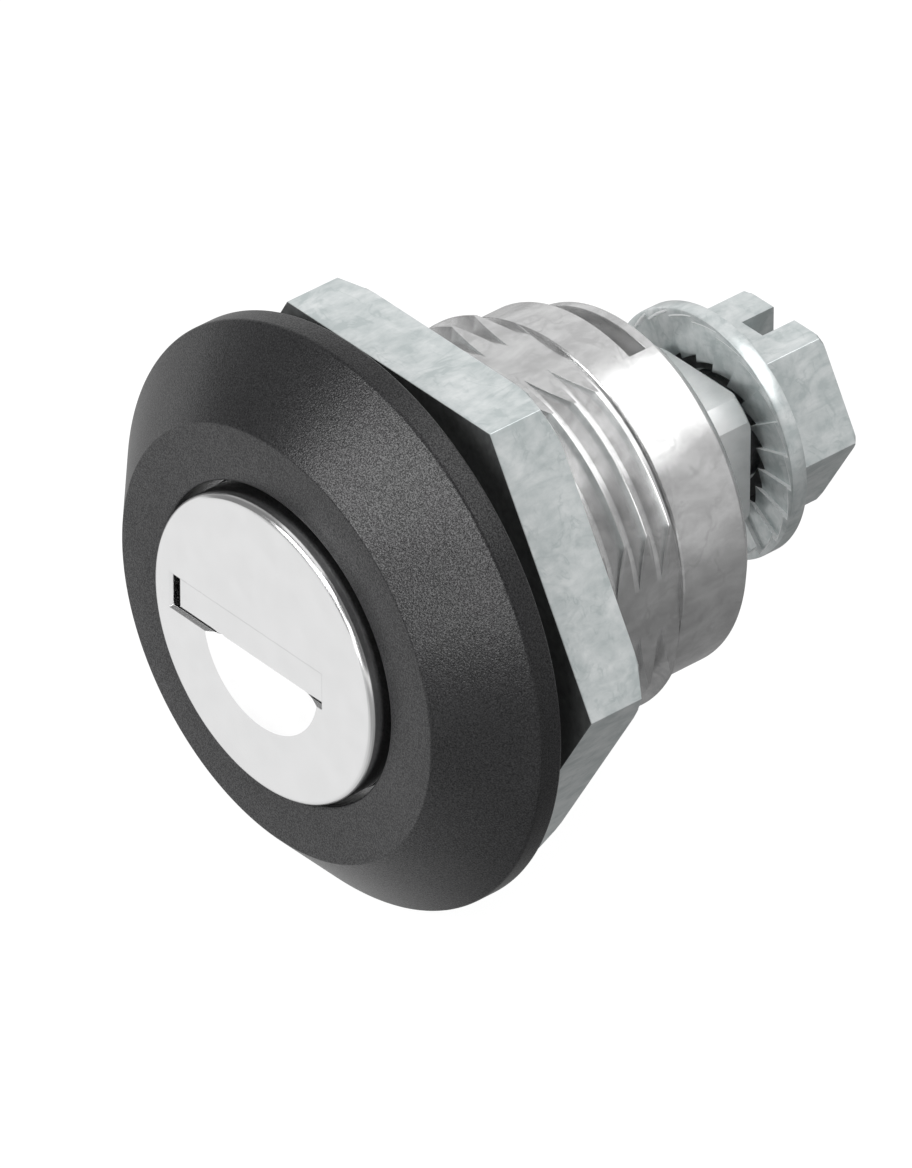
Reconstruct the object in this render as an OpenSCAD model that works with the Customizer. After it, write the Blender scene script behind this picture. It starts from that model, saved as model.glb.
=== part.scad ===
// Panel-mounted quarter-turn lock with a key cylinder, a sprung dust shutter,
// a flatted M22 shank with its nut, and an 8 mm square spindle for the cam.
// The lock's axis is Y. The panel bears on the gasket at y = 0, the key face looks
// towards -Y, and Z points up. Angles around the axis run from +X towards +Z.

/* [Panel fit] */
// Room for the panel between the gasket and the nut
panel_room = 2.05; // [1:0.05:3]
// Thickness of the flat gasket
gasket_thickness = 0.6; // [0.5:0.05:0.8]
// How far the gasket stands out of its recess behind the bezel
gasket_proud = 0.3; // [0.2:0.05:0.4]
// How far the gasket's edge lies inside the bezel's rim
gasket_inset = 1; // [0.6:0.1:1.8]

/* [Bezel] */
// Outer diameter of the bezel
bezel_d = 32.2; // [31:0.1:34]
// Width of the cone, from the rim in to the flat front ring
cone_width = 4.1; // [3.4:0.1:4.6]
// Height of the bezel, from its front ring to the rear edge of its rim
bezel_height = 5.15; // [4.8:0.05:6]
// Width of the cylindrical rim behind the cone
bezel_rim = 1.4; // [0.8:0.1:2]
// Gap all round between the key face and the bezel's bore
bezel_gap = 0.35; // [0.2:0.05:0.6]
// Radius that breaks the bezel's edges
bezel_edge = 0.2; // [0.1:0.05:0.4]

/* [Housing] */
// Thread diameter of the shank
thread_d = 22; // [21.5:0.1:23]
// Thread pitch
thread_pitch = 1.5; // [1:0.25:2]
// Depth of the thread grooves
thread_depth = 0.9; // [0.6:0.05:1]
// Width across the two flats of the shank
flats_w = 20; // [19.6:0.1:20.6]
// Length of the threaded shank behind the panel seat
shank_length = 12.9; // [12.5:0.05:16.5]
// How far the flange's edge lies inside the bezel's rim
flange_inset = 3.5; // [3.2:0.1:3.8]
// Thickness of the flange
flange_thickness = 3.2; // [3.1:0.1:3.6]
// Diameter of the plain rear collar
collar_d = 20.6; // [20.2:0.1:21.2]
// Length of the plain rear collar
collar_length = 4.8; // [4.6:0.1:6]
// Chamfer on the collar's rear edge
collar_chamfer = 0.6; // [0.2:0.1:0.7]
// Length of the stop window, from the collar's rear end
window_length = 2.25; // [2:0.05:2.4]
// Angle of the stop window's first side
window_start = 72.5; // [60:0.5:85]
// Thickness of the inner web that the spindle clips to
web_thickness = 1.2; // [1:0.1:1.6]

/* [Key cylinder] */
// Diameter of the plug and its face
plug_d = 17; // [16.7:0.05:17.2]
// How far the key face stands proud of the bezel
face_proud = 0.95; // [0.6:0.05:1.4]
// Rounding of the key face's edge
face_edge = 0.2; // [0.1:0.02:0.3]
// Thickness of the face cap
cap_thickness = 2; // [1.9:0.1:2.3]
// Width of the keyway
key_w = 11.75; // [11:0.05:11.9]
// Height of the keyway
key_h = 1.75; // [1.6:0.05:1.9]
// Sideways offset of the keyway's middle
key_offset = -1.125; // [-1.2:0.025:-0.8]
// How far the slot in the face reaches above the keyway
slot_rise = 0.28; // [0.1:0.02:0.4]
// Chamfer on the left and lower edges of the slot
slot_chamfer = 0.16; // [0.1:0.02:0.3]
// Diameter of the finger scoop at the face
scoop_d = 8.85; // [8:0.05:10]
// Depth of the finger scoop at its middle
scoop_depth = 0.65; // [0.4:0.05:0.7]
// How far the scoop's middle lies below the axis
scoop_drop = 0.18; // [0:0.02:0.4]

/* [Dust shutter] */
// Thickness of the shutter plate
shutter_t = 0.6; // [0.5:0.05:0.7]
// Gap below the shutter plate
shutter_gap = 0.075; // [0.05:0.005:0.12]
// Hairline gap above the shutter plate and at its right end
shutter_fit = 0.03; // [0.02:0.01:0.05]
// Wider gap at the shutter's left end
shutter_end_gap = 0.48; // [0.3:0.02:0.6]
// Rounding of the plate's left and lower front edges
shutter_round = 0.3; // [0.2:0.02:0.4]
// Radius of the hinge pin
hinge_pin_r = 0.35; // [0.3:0.01:0.36]
// Wire diameter of the shutter spring
shutter_wire = 0.2; // [0.16:0.02:0.22]

/* [Wafers] */
// Thickness of each wafer
wafer_t = 1; // [0.8:0.05:1.1]
// Spacing of the wafers
wafer_pitch = 2; // [1.9:0.05:2.1]
// How far a wafer reaches into the housing when the key is out
wafer_travel = 0.6; // [0.4:0.05:0.65]
// Half height of a wafer's frame
wafer_half_h = 2.9; // [2.7:0.05:3]
// Half height of a wafer's locking nose
nose_half_h = 1.6; // [1.3:0.05:1.7]
// Wire diameter of the wafer springs
wafer_wire = 0.2; // [0.16:0.02:0.22]

/* [Spindle] */
// Width across the cam square
square_w = 8; // [7:0.1:8.4]
// Diameter that the square's corners are turned to
square_corner_d = 10; // [9.6:0.1:10.4]
// Length of the cam square
square_length = 5.1; // [4:0.1:8]
// Diameter of the disc that the cam bears on
disc_d = 18.8; // [18:0.1:19]
// How far the disc stands behind the collar
disc_proud = 0.15; // [0.05:0.05:0.3]
// Angle taken by the stop lug and its play
lug_angle = 35; // [25:1:45]
// Turn between the two stops
turn_angle = 90; // [80:1:100]

/* [Nut] */
// Width across the nut's flats
nut_af = 27; // [26:0.5:30]
// Thickness of the nut
nut_thickness = 3.9; // [3:0.1:6]

/* [Cam screw] */
// Thread diameter of the screw
screw_d = 6; // [5:0.1:6.2]
// Width across the screw head's flats
head_af = 10; // [9:0.1:11]
// Height of the screw head
head_h = 4; // [3.6:0.1:5]
// Width of the screwdriver slot
driver_slot_w = 1.6; // [1.2:0.1:2]
// Depth of the screwdriver slot
driver_slot_depth = 2.2; // [1.5:0.1:2.6]
// Length of the screw below its head
screw_length = 8.8; // [8:0.1:10]
// Diameter of the ribbed washer
washer_d = 14; // [13:0.1:16]
// Thickness of the washer at its rim
washer_rim_t = 1; // [0.8:0.05:1.2]
// Gap between the square's end and the washer's rim
washer_gap = 0.25; // [0.15:0.05:1]
// Number of ribs on the washer
rib_count = 22; // [16:1:26]
// Width of the groove between two ribs
rib_gap = 0.3; // [0.2:0.05:0.6]

/* [Fits] */
// Radial play of turning and sliding pieces
running = 0.05; // [0.03:0.01:0.08]
// Play between pieces that only sit together
seat_play = 0.02; // [0.01:0.01:0.04]

/* [Hidden] */
$fn = 96;
// A cut reaches this far past the face that it opens
over = 1;

// Stations along the axis, from the key face to the screw head
bezel_back_y = -gasket_proud;
flange_back_y = -gasket_thickness;
bezel_front_y = bezel_back_y - bezel_height;
rim_front_y = bezel_back_y - bezel_rim;
face_y = bezel_front_y - face_proud;
cap_back_y = face_y + cap_thickness;
flange_front_y = flange_back_y - flange_thickness;
nut_front_y = panel_room;
nut_back_y = nut_front_y + nut_thickness;
collar_end_y = shank_length + collar_length;
web_front_y = shank_length - 0.3;
web_back_y = web_front_y + web_thickness;
window_front_y = collar_end_y - window_length;
recess_depth = 0.5;
recess_y = collar_end_y - recess_depth;
disc_front_y = recess_y + running;
cam_seat_y = collar_end_y + disc_proud;
square_end_y = cam_seat_y + square_length;
washer_front_y = square_end_y + washer_gap;
washer_cone = 0.6;
washer_t = 0.97;
head_front_y = washer_front_y + washer_cone + washer_t;
head_back_y = head_front_y + head_h;

// Radii and bores
bezel_r = bezel_d / 2;
bezel_flat_r = bezel_r - cone_width;
flange_r = bezel_r - flange_inset;
gasket_r = bezel_r - gasket_inset;
plug_r = plug_d / 2;
plug_bore_r = plug_r + running;
bezel_bore_r = plug_r + bezel_gap;
crest_r = thread_d / 2;
root_r = crest_r - thread_depth;
collar_r = collar_d / 2;
disc_r = disc_d / 2;
hub_r = disc_r - 1.25;
hub_bore_r = hub_r + running;
spigot_r = 6.4;
washer_r = washer_d / 2;

// Thread form: sixty degree flanks with a narrow flat crest
crest_flat = thread_pitch / 8;
flank_w = thread_depth * tan(30);
root_flat = thread_pitch - crest_flat - 2 * flank_w;
nut_thread_play = 0.08;

// Plug: seal groove, pin groove, keyway and wafers
seal_y = flange_front_y + 0.95;
seal_groove_w = 1.1;
seal_r = 0.48;
pin_r = 0.6;
pin_y = flange_back_y - 0.8;
pin_groove_r = plug_r - 0.95;
clip_space = 1.4;
plug_end_y = web_front_y - clip_space;
keyway_end_y = plug_end_y - 0.9;
key_x0 = key_offset - key_w / 2;
key_x1 = key_offset + key_w / 2;
key_half_h = key_h / 2;
wafer_last_y = plug_end_y - 2;
wafer_count = 5;
// How much of each wafer stands in the keyway until the key lifts it
bitting = [0.4, 1.2, 0.8, 1.5, 0.6];
wafer_nose_x = sqrt(pow(plug_r - 0.1, 2) - pow(nose_half_h, 2));
wafer_shoulder_x = 6.6;
wafer_tail_x = -7.5;
wafer_groove_r = wafer_nose_x + wafer_travel + 0.3;
wafer_groove_half_h = nose_half_h + 0.2;
ear_x0 = -1.2;
ear_w = 1.2;
ear_top = wafer_half_h + 1.5;
spring_x0 = -5.2;
wafer_spring_r = 0.5;
wafer_spring_z = wafer_half_h + 0.95;
spring_bore_r = wafer_spring_r + wafer_wire / 2 + 0.08;
tang_w = 9;
tang_h = 3;
tang_length = 1.8;

// Shutter: the plate lies in the slot and swings inwards about a pin above it
shutter_inset = 0.04;
plate_front_y = face_y + shutter_inset;
plate_back_y = plate_front_y + shutter_t;
slot_top_z = key_half_h + slot_rise;
plate_x0 = key_x0 + shutter_end_gap;
plate_x1 = key_x1 - shutter_fit;
plate_z0 = -key_half_h + shutter_gap;
plate_z1 = slot_top_z - shutter_fit;
hinge_depth = 1.1;
hinge_y = face_y + hinge_depth;
hinge_z = key_half_h + hinge_depth;
knuckle_r = 0.6;
knuckle_w = 2;
skin = hinge_depth - knuckle_r - 0.1;
pocket_x0 = plate_x0 - 0.15;
pocket_x1 = plate_x1 + 0.15;
pocket_z0 = -key_half_h - 0.1;
pocket_top_z = hinge_z + knuckle_r + 0.15;
pocket_back_y = hinge_y + hinge_z - plate_z0 + 0.2;
pin_x0 = key_x0 - 0.7;
pin_x1 = key_x1 + 0.6;
hinge_spring_r = hinge_pin_r + 0.2;
hinge_spring_x = key_offset - 0.2;
hinge_curls = 4;
hinge_curl_pitch = shutter_wire + 0.45;

// Spindle: spigot, clip, hub, lug and the threaded hole for the cam screw
clip_t = 0.6;
clip_y0 = web_front_y - running - clip_t;
clip_groove_r = 5.6;
clip_r = 7.6;
spindle_seal_y = web_back_y + 0.95;
spindle_seal_r = 0.46;
lug_r = collar_r - 0.1;
lug_play_angle = 0.3;
screw_r = screw_d / 2;
screw_hole_r = screw_r + seat_play;
screw_tip_y = head_front_y - screw_length;
screw_hole_y = screw_tip_y - 0.6;

// A solid turned about the lock's axis from [radius, y] points
module turned(profile) {
    rotate([-90, 0, 0])
        rotate_extrude()
            polygon(profile);
}

// A round bar along the axis
module round_bar(r, y0, y1) {
    translate([0, y0, 0])
        rotate([-90, 0, 0])
            cylinder(r = r, h = y1 - y0);
}

// A block between two corners
module block(x0, x1, y0, y1, z0, z1) {
    translate([x0, y0, z0])
        cube([x1 - x0, y1 - y0, z1 - z0]);
}

// A flat shape drawn in X and Z, with its thickness along Y
module plate(y0, y1) {
    translate([0, y1, 0])
        rotate([90, 0, 0])
            linear_extrude(y1 - y0)
                children();
}

// A sector about the axis, between two angles and two radii
module sector(r0, r1, a0, a1, y0, y1) {
    steps = max(1, ceil((a1 - a0) / 15));
    reach = r1 / cos((a1 - a0) / steps / 2) + over;
    plate(y0, y1)
        intersection() {
            difference() {
                circle(r = r1);
                circle(r = r0);
            }
            polygon(concat([[0, 0]],
                [for (i = [0 : steps])
                    let (a = a0 + (a1 - a0) * i / steps) reach * [cos(a), sin(a)]]));
        }
}

// Points of a quarter round about a centre, between two angles
function arc(cx, cy, r, a0, a1, n = 4) =
    [for (i = [0 : n]) let (a = a0 + (a1 - a0) * i / n) [cx + r * cos(a), cy + r * sin(a)]];

// The threaded outline, as [radius, y] points from y0 up to y1, grown outwards by grow.
// The last groove lies at the shank's end and the others one pitch apart before it.
function groove_y(k) = shank_length - root_flat / 2 - k * thread_pitch;
function groove_count(y0) = floor((shank_length - flank_w - root_flat - y0) / thread_pitch);
function thread_outline(y0, y1, grow) = concat(
    [[0, y0], [crest_r + grow, y0]],
    [for (k = [groove_count(y0) : -1 : 0], p = [
        [crest_r, -root_flat / 2 - flank_w], [root_r, -root_flat / 2],
        [root_r, root_flat / 2], [crest_r, root_flat / 2 + flank_w]])
        if (k > 0 || p[1] < root_flat)
            [p[0] + grow, groove_y(k) + p[1]]],
    [[0, y1]]);

// A tube of six sides through a list of points, square at both ends
function unit(v) = v / norm(v);
function path_dir(path, i) =
    unit(path[min(i + 1, len(path) - 1)] - path[max(i - 1, 0)]);
module wire(path, d, side_dir, sides = 6) {
    rings = len(path);
    points = [for (i = [0 : rings - 1])
        let (t = path_dir(path, i), u = unit(cross(t, side_dir)), v = cross(t, u))
        for (s = [0 : sides - 1])
            path[i] + d / 2 * (cos(360 * s / sides) * u + sin(360 * s / sides) * v)];
    faces = concat(
        [[for (s = [0 : sides - 1]) s]],
        [for (i = [0 : rings - 2], s = [0 : sides - 1])
            let (a = i * sides + s, b = i * sides + (s + 1) % sides)
            each [[a, a + sides, b + sides], [a, b + sides, b]]],
        [[for (s = [sides - 1 : -1 : 0]) (rings - 1) * sides + s]]);
    polyhedron(points, faces);
}

// The least gap between turns that are two or more eighths of a curl apart along the wire
function least_gap(path, d, apart) = min(
    [for (i = [0 : len(path) - 1], j = [i + apart : len(path) - 1])
        if (j < len(path)) norm(path[i] - path[j])]) - d;

// Black moulded ring with a flat front, a cone and a short cylindrical rim
module bezel() {
    cone_angle = atan2(rim_front_y - bezel_front_y, cone_width);
    e = bezel_edge;
    turn = e * tan(cone_angle / 2);
    bend = e * tan((90 - cone_angle) / 2);
    color("#4b4b4c")
        turned(concat(
            arc(bezel_bore_r + e, bezel_front_y + e, e, 180, 270),
            arc(bezel_flat_r - turn, bezel_front_y + e, e, 270, 270 + cone_angle),
            arc(bezel_r - e, rim_front_y + bend, e, 270 + cone_angle, 360),
            arc(bezel_r - e, bezel_back_y - e, e, 0, 90),
            [[gasket_r + running, bezel_back_y],
                [gasket_r + running, flange_back_y],
                [flange_r + seat_play, flange_back_y],
                [flange_r + seat_play, flange_front_y],
                [bezel_bore_r, flange_front_y]]));
}

// Flat rubber ring in the bezel's recess, which seals it against the panel
module gasket() {
    color("#262626")
        turned([[crest_r + 0.1, flange_back_y], [gasket_r, flange_back_y],
            [gasket_r, 0], [crest_r + 0.1, 0]]);
}

// Die-cast body: flange, flatted thread, plain collar, wafer grooves and stop window
module housing() {
    color("#c4c6c6")
        difference() {
            union() {
                round_bar(flange_r, flange_front_y, flange_back_y);
                intersection() {
                    turned(thread_outline(flange_back_y - over, shank_length, 0));
                    block(-thread_d, thread_d, flange_back_y - over, shank_length + over,
                        -flats_w / 2, flats_w / 2);
                }
                turned([[0, shank_length - over], [root_r, shank_length - over],
                    [root_r, shank_length - 0.05], [collar_r, shank_length + 0.1],
                    [collar_r, collar_end_y - collar_chamfer],
                    [collar_r - collar_chamfer, collar_end_y], [0, collar_end_y]]);
            }
            round_bar(plug_bore_r, flange_front_y - over, web_front_y);
            round_bar(spigot_r + running, web_front_y - over, web_back_y + over);
            round_bar(hub_bore_r, web_back_y, recess_y + over);
            round_bar(disc_r + running, recess_y, collar_end_y + over);
            wafer_grooves();
            sector(hub_bore_r - 0.5, collar_r + over, window_start,
                window_start + turn_angle + lug_angle, window_front_y, collar_end_y + over);
            translate([0, pin_y, 0])
                mirror([0, 0, 1])
                    cylinder(r = pin_r + seat_play, h = flange_r + over, $fn = 32);
        }
}

// Four broached grooves that take the wafers' noses, closed towards the collar
module wafer_grooves() {
    intersection() {
        round_bar(wafer_groove_r, wafer_y(1) - wafer_pitch / 2, wafer_last_y + wafer_pitch / 2);
        union() {
            for (half = [[thread_d, wafer_groove_half_h], [wafer_groove_half_h, thread_d]])
                block(-half[0], half[0], flange_back_y - over, shank_length, -half[1], half[1]);
        }
    }
}

// Hexagon nut, chamfered at its back, with a thread that follows the shank's
module hex_nut() {
    corner_r = nut_af / sqrt(3);
    chamfer_r = nut_af / 2 * 1.09;
    color("#c3cbca")
        difference() {
            intersection() {
                translate([0, nut_front_y, 0])
                    rotate([-90, 0, 0])
                        cylinder(r = corner_r, h = nut_thickness, $fn = 6);
                turned([[0, nut_front_y], [corner_r + over, nut_front_y],
                    [corner_r + over, nut_back_y - (corner_r + over - chamfer_r) * tan(30)],
                    [chamfer_r, nut_back_y], [0, nut_back_y]]);
            }
            turned(thread_outline(flange_back_y, shank_length + over, nut_thread_play));
        }
}

// Pin through the flange whose tip runs in the plug's ring groove
module retaining_pin() {
    color("#a9adaf")
        translate([0, pin_y, -flange_r + seat_play])
            cylinder(r = pin_r, h = flange_r - pin_groove_r - 2 * running, $fn = 32);
}

// Bright face of the plug: key slot with a chamfer, finger scoop and the shutter's pocket
module face_cap() {
    scoop_sphere_r = (pow(scoop_d / 2, 2) + pow(scoop_depth, 2)) / (2 * scoop_depth);
    e = face_edge;
    color("#e4e5e6")
        difference() {
            turned(concat([[0, face_y]], arc(plug_r - e, face_y + e, e, 270, 360),
                [[plug_r, cap_back_y], [0, cap_back_y]]));
            block(key_x0, key_x1, face_y - over, cap_back_y + over, -key_half_h, slot_top_z);
            slot_funnel();
            block(pocket_x0, pocket_x1, face_y + skin, cap_back_y + over,
                pocket_z0, pocket_top_z);
            intersection() {
                translate([0, face_y + scoop_depth - scoop_sphere_r, -scoop_drop])
                    sphere(r = scoop_sphere_r);
                block(-scoop_d, scoop_d, face_y - over, cap_back_y, -scoop_d, -key_half_h + 0.1);
            }
            hinge_line(hinge_pin_r + seat_play, pin_x0 - seat_play, pin_x1 + seat_play);
        }
}

// The slot's chamfer along its left and lower edges: where two long wedges cross
module slot_funnel() {
    c = slot_chamfer;
    front = face_y - c;
    intersection() {
        translate([key_x0 - c - over, 0, 0])
            rotate([90, 0, 90])
                linear_extrude(key_w + c + over)
                    polygon([[front, -key_half_h - 2 * c], [face_y + c, -key_half_h],
                        [face_y + c, slot_top_z], [front, slot_top_z]]);
        translate([0, 0, -key_half_h - c - over])
            linear_extrude(slot_top_z + key_half_h + c + over)
                polygon([[key_x0 - 2 * c, front], [key_x0, face_y + c],
                    [key_x1, face_y + c], [key_x1, front]]);
    }
}

// A round bar along the shutter's hinge line
module hinge_line(r, x0, x1) {
    translate([x0, hinge_y, hinge_z])
        rotate([0, 90, 0])
            cylinder(r = r, h = x1 - x0, $fn = 32);
}

// Plate that closes the key slot, with two knuckles behind the slot's upper edge
module dust_shutter() {
    r = shutter_round;
    color("#dfe0e1")
        difference() {
            union() {
                intersection() {
                    translate([plate_x0, 0, 0])
                        rotate([90, 0, 90])
                            linear_extrude(plate_x1 - plate_x0)
                                polygon(concat(
                                    arc(plate_front_y + r, plate_z0 + r, r, 180, 270, 8),
                                    [[plate_back_y, plate_z0], [plate_back_y, plate_z1],
                                        [plate_front_y, plate_z1]]));
                    translate([0, 0, plate_z0])
                        linear_extrude(plate_z1 - plate_z0)
                            polygon(concat(
                                arc(plate_x0 + r, plate_front_y + r, r, 180, 270, 8),
                                [[plate_x1, plate_front_y], [plate_x1, plate_back_y],
                                    [plate_x0, plate_back_y]]));
                }
                for (x = [plate_x0 + 0.1, plate_x1 - 0.1 - knuckle_w]) {
                    hinge_line(knuckle_r, x, x + knuckle_w);
                    block(x, x + knuckle_w, hinge_y - knuckle_r, hinge_y,
                        plate_z1 - 0.6, hinge_z);
                }
            }
            hinge_line(hinge_pin_r + running, key_x0 - over, key_x1 + over);
        }
}

// Steel pin that the shutter swings on
module shutter_pin() {
    color("#9a9da0")
        hinge_line(hinge_pin_r, pin_x0, pin_x1);
}

// Torsion spring round the hinge pin: one leg on the shutter's back, one in the plug
module shutter_spring() {
    r = hinge_spring_r;
    leg_y = plate_back_y + shutter_wire / 2 + 0.03;
    x0 = hinge_spring_x - hinge_curls * hinge_curl_pitch / 2;
    start = 180 + acos((hinge_y - leg_y) / r);
    coil = [for (i = [0 : 8 * hinge_curls + 2])
        let (a = start - 45 * i)
        [x0 + hinge_curl_pitch * i / 8, hinge_y + r * cos(a), hinge_z + r * sin(a)]];
    last = coil[len(coil) - 1];
    path = concat(
        [[x0, leg_y, 0.1], [x0, leg_y, (hinge_z - r) / 2]],
        coil,
        [last + [0.1, 0.4, 0.15],
            [last[0] + 0.15, cap_back_y - 0.15, pocket_top_z - shutter_wire / 2 - 0.04]]);
    echo(shutter_spring_gap = least_gap(coil, shutter_wire, 6));
    color("#b9bcbe")
        wire(path, shutter_wire, [1, 0.02, 0.01]);
}

// Plug behind the face: keyway, slots for five wafers, spring bores and a drive tang
module lock_plug() {
    slot_half = wafer_t / 2 + running;
    color("#b7b9ba")
        difference() {
            union() {
                turned([[0, cap_back_y], [plug_r, cap_back_y],
                    [plug_r, seal_y - seal_groove_w / 2],
                    [plug_r - 2 * seal_r, seal_y - seal_groove_w / 2],
                    [plug_r - 2 * seal_r, seal_y + seal_groove_w / 2],
                    [plug_r, seal_y + seal_groove_w / 2],
                    [plug_r, pin_y - pin_r - running], [pin_groove_r, pin_y - pin_r - running],
                    [pin_groove_r, pin_y + pin_r + running], [plug_r, pin_y + pin_r + running],
                    [plug_r, plug_end_y], [0, plug_end_y]]);
                block(-tang_w / 2, tang_w / 2, plug_end_y - over, plug_end_y + tang_length,
                    -tang_h / 2, tang_h / 2);
            }
            block(key_x0, key_x1, cap_back_y - over, keyway_end_y, -key_half_h, key_half_h);
            block(pocket_x0, pocket_x1, cap_back_y - over, pocket_back_y,
                0, hinge_z + 0.15);
            for (i = [1 : wafer_count]) {
                y = wafer_y(i);
                block(-plug_d, plug_d, y - slot_half, y + slot_half,
                    -wafer_half_h - running, wafer_half_h + running);
                block(spring_x0 + 2, ear_x0 + ear_w + wafer_travel + 0.2, y - slot_half,
                    y + slot_half, 0, ear_top + 0.1);
                translate([spring_x0, y, wafer_spring_z])
                    rotate([0, 90, 0])
                        cylinder(r = spring_bore_r, h = ear_x0 - spring_x0 + over, $fn = 32);
            }
        }
}

// Rubber ring between the plug and the housing
module plug_seal() {
    color("#222222")
        ring_seal(seal_y, plug_r + 0.03 - seal_r, seal_r - 0.01);
}

// A round-section ring about the axis
module ring_seal(y, ring_r, wire_r) {
    translate([0, y, 0])
        rotate([-90, 0, 0])
            rotate_extrude()
                translate([ring_r, 0])
                    circle(r = wire_r, $fn = 32);
}

function wafer_y(i) = wafer_last_y - (wafer_count - i) * wafer_pitch;

// A wafer drawn in by its key: frame, window, locking nose and spring ear
module wafer(i) {
    lift = bitting[i - 1];
    y = wafer_y(i);
    window_half_h = key_half_h + 0.1;
    color("#c8a45c")
        plate(y - wafer_t / 2, y + wafer_t / 2)
            difference() {
                polygon([[wafer_tail_x, -wafer_half_h], [wafer_shoulder_x, -wafer_half_h],
                    [wafer_shoulder_x, -nose_half_h], [wafer_nose_x, -nose_half_h],
                    [wafer_nose_x, nose_half_h], [wafer_shoulder_x, nose_half_h],
                    [wafer_shoulder_x, wafer_half_h], [ear_x0 + ear_w, wafer_half_h],
                    [ear_x0 + ear_w, ear_top], [ear_x0, ear_top],
                    [ear_x0, wafer_half_h], [wafer_tail_x, wafer_half_h]]);
                polygon([[key_x0 + lift, -window_half_h], [key_x1 + 0.1, -window_half_h],
                    [key_x1 + 0.1, window_half_h], [key_x0 + lift, window_half_h]]);
            }
}

// Coil spring that pushes a wafer's ear, and with it the nose, outwards
module wafer_spring(i) {
    x0 = spring_x0 + wafer_wire / 2 + 0.02;
    x1 = ear_x0 - wafer_wire / 2 - 0.02;
    curls = floor((x1 - x0) / (wafer_wire + 0.55));
    path = [for (k = [0 : 8 * curls])
        [x0 + (x1 - x0) * k / (8 * curls),
            wafer_y(i) + wafer_spring_r * cos(45 * k),
            wafer_spring_z + wafer_spring_r * sin(45 * k)]];
    if (i == 1)
        echo(wafer_spring_gap = least_gap(path, wafer_wire, 6));
    color("#b9bcbe")
        wire(path, wafer_wire, [1, 0.02, 0.01]);
}

// Spindle: slotted spigot, sealed hub, stop lug, cam disc and the turned square
module spindle() {
    lug_start = window_start + turn_angle + lug_play_angle;
    color("#bcbfc0")
        difference() {
            union() {
                turned([[0, plug_end_y + running], [spigot_r, plug_end_y + running],
                    [spigot_r, clip_y0 - seat_play], [clip_groove_r, clip_y0 - seat_play],
                    [clip_groove_r, clip_y0 + clip_t + seat_play],
                    [spigot_r, clip_y0 + clip_t + seat_play],
                    [spigot_r, web_back_y + running], [hub_r, web_back_y + running],
                    [hub_r, spindle_seal_y - 0.5], [hub_r - 2 * spindle_seal_r, spindle_seal_y - 0.5],
                    [hub_r - 2 * spindle_seal_r, spindle_seal_y + 0.5],
                    [hub_r, spindle_seal_y + 0.5], [hub_r, disc_front_y],
                    [disc_r, disc_front_y], [disc_r, cam_seat_y], [0, cam_seat_y]]);
                sector(hub_r - 1, lug_r, lug_start, lug_start + lug_angle - 2 * lug_play_angle,
                    window_front_y + 0.1, disc_front_y + 0.1);
                intersection() {
                    round_bar(square_corner_d / 2, cam_seat_y - over, square_end_y);
                    block(-square_w / 2, square_w / 2, cam_seat_y - over, square_end_y,
                        -square_w / 2, square_w / 2);
                }
            }
            block(-plug_r, plug_r, plug_end_y - over, plug_end_y + tang_length + running,
                -tang_h / 2 - running, tang_h / 2 + running);
            round_bar(screw_hole_r, screw_hole_y, square_end_y + over);
        }
}

// Open spring clip that holds the spindle to the housing's web
module spindle_clip() {
    opening = 70;
    color("#8f9295")
        difference() {
            plate(clip_y0, clip_y0 + clip_t)
                difference() {
                    circle(r = clip_r);
                    circle(r = clip_groove_r + seat_play);
                    polygon(concat([[0, 0]], [for (a = [-opening / 2, 0, opening / 2])
                        2 * clip_r * [cos(a - 90), sin(a - 90)]]));
                }
            for (side = [-1, 1])
                rotate([0, 90 + side * (opening / 2 + 9), 0])
                    translate([(clip_r + clip_groove_r) / 2, clip_y0 - over, 0])
                        rotate([-90, 0, 0])
                            cylinder(r = 0.4, h = clip_t + 2 * over, $fn = 24);
        }
}

// Rubber ring between the spindle's hub and the collar's bore
module spindle_seal() {
    color("#222222")
        ring_seal(spindle_seal_y, hub_r + 0.03 - spindle_seal_r, spindle_seal_r - 0.01);
}

// Conical washer with a plain lip and radial ribs on the face towards the cam
module ribbed_washer() {
    hole_r = screw_r + 0.2;
    lip_w = 0.4;
    rib_step = 0.1;
    rib_r0 = square_corner_d / 2 - 0.4;
    rib_r1 = washer_r - lip_w;
    color("#c3cbca")
        difference() {
            turned([[hole_r, washer_front_y + washer_cone],
                [rib_r0, washer_front_y + 0.45], [rib_r0, washer_front_y + rib_step],
                [rib_r1, washer_front_y + rib_step], [rib_r1, washer_front_y],
                [washer_r - 0.08, washer_front_y], [washer_r, washer_front_y + 0.08],
                [washer_r, washer_front_y + washer_rim_t - 0.1],
                [washer_r - 0.1, washer_front_y + washer_rim_t],
                [head_af / 2, head_front_y], [hole_r, head_front_y]]);
            for (k = [0 : rib_count - 1])
                rotate([0, 360 * k / rib_count, 0])
                    block(rib_r0 - 0.5, rib_r1 - 0.1, washer_front_y - over,
                        washer_front_y + 3 * rib_step, -rib_gap / 2, rib_gap / 2);
        }
}

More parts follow.
